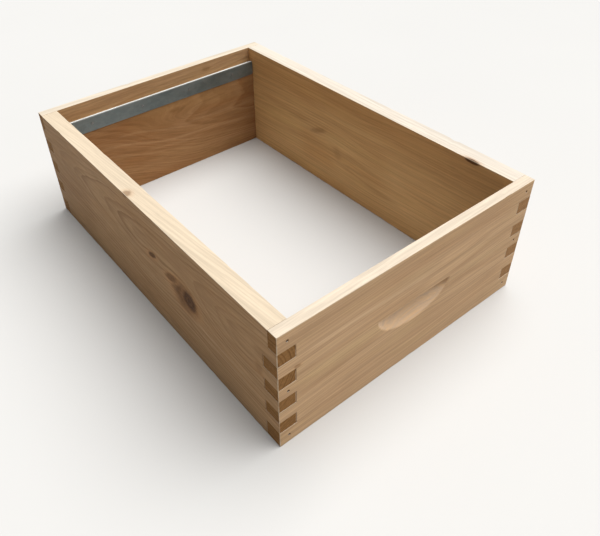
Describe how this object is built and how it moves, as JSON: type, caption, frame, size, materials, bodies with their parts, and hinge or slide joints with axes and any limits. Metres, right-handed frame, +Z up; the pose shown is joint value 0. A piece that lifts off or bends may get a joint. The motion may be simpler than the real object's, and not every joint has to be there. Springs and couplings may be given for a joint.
{
  "type": "beehive super box",
  "caption": "Open wooden hive box with finger-jointed corners, a rebate and metal frame rest at each end, and scooped handholds.",
  "frame": {"origin": "middle of the box's bottom face, on the surface it stands on", "axes": "+Z up out of the open top; +Y along the box's length, from the front end board to the back one; +X from the left side board to the right one"},
  "size_m": [0.356, 0.508, 0.157],
  "materials": {
    "end_board_wood": "bare planed softwood, light tan, with fine straight grain and darker end grain",
    "side_board_wood": "bare planed softwood, warm brown, with arched grain, one large spike knot and a few pin knots",
    "galvanised_sheet": "dull zinc-coated sheet steel with faint mottling",
    "nail_steel": "dark, slightly rusted steel",
    "tack_steel": "dull zinc-coated steel"
  },
  "bodies": {
    "root": {"front_end_board": "end_board_wood", "back_end_board": "end_board_wood", "left_side_board": "side_board_wood", "right_side_board": "side_board_wood", "front_frame_rest": "galvanised_sheet", "back_frame_rest": "galvanised_sheet", "front_left_nails": "nail_steel", "front_right_nails": "nail_steel", "back_left_nails": "nail_steel", "back_right_nails": "nail_steel", "front_rest_tacks": "tack_steel", "back_rest_tacks": "tack_steel"}
  },
  "joints": []
}
